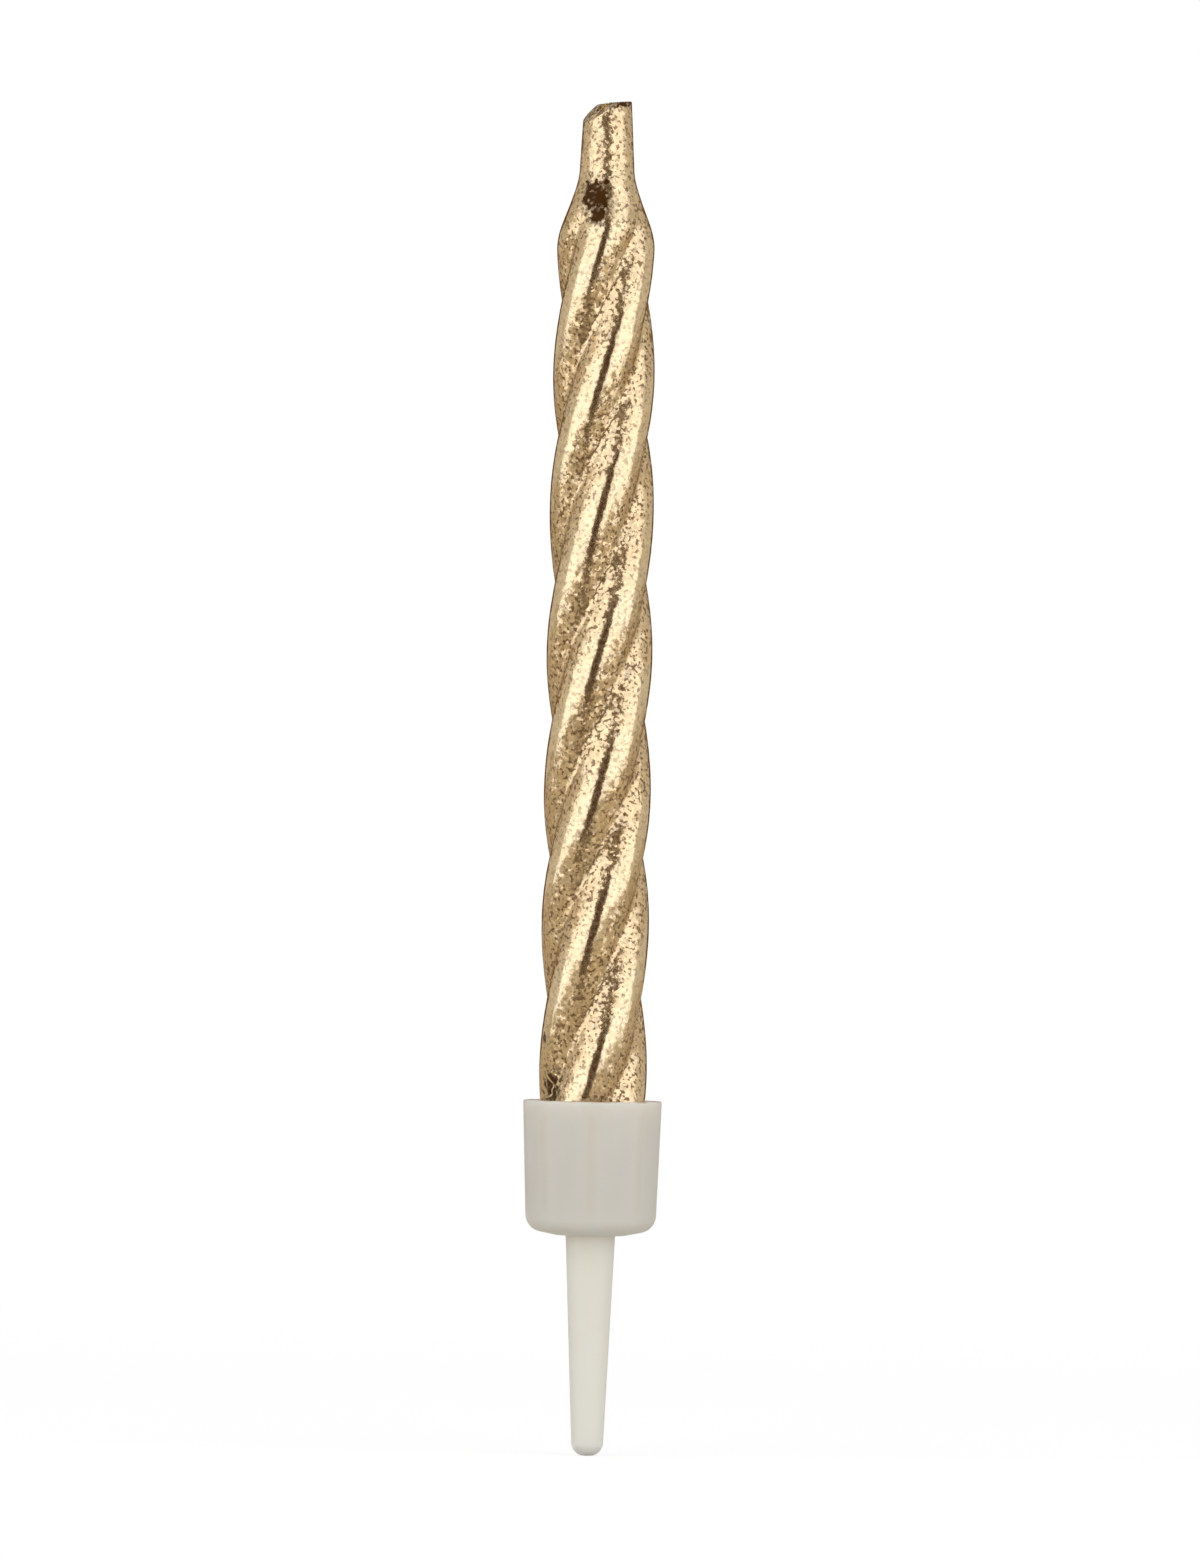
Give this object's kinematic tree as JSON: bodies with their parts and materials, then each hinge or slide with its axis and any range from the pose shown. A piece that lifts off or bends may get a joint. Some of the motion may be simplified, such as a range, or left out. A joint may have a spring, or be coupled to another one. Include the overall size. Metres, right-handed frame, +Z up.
{
  "type": "spiral birthday candle",
  "caption": "Twisted gold birthday candle standing in a translucent push-in holder, a small cup on a tapered spike that goes into a cake.",
  "frame": {"origin": "where the candle's axis meets the flat ring on the cup's underside, which rests on the cake", "axes": "+Z up along the candle towards its wick, -Y towards the viewer of the picture, +X to the viewer's right"},
  "size_m": [0.0074, 0.0074, 0.0729],
  "materials": {
    "gold_lacquered_wax": "metallic gold lacquer over paraffin wax, fine flake grain",
    "waxed_cotton": "braided cotton, soaked in wax, cut end gilded with the candle",
    "natural_polyethylene": "moulded, uncoloured and translucent, soft satin"
  },
  "bodies": {
    "holder": {"holder": "natural_polyethylene"},
    "candle": {"wax_body": "gold_lacquered_wax", "wick": "waxed_cotton"}
  },
  "joints": [
    {"name": "candle_lift", "type": "slide", "parent": "holder", "child": "candle", "axis": [0, 0, 1], "range_m": [0, 0.01]}
  ]
}
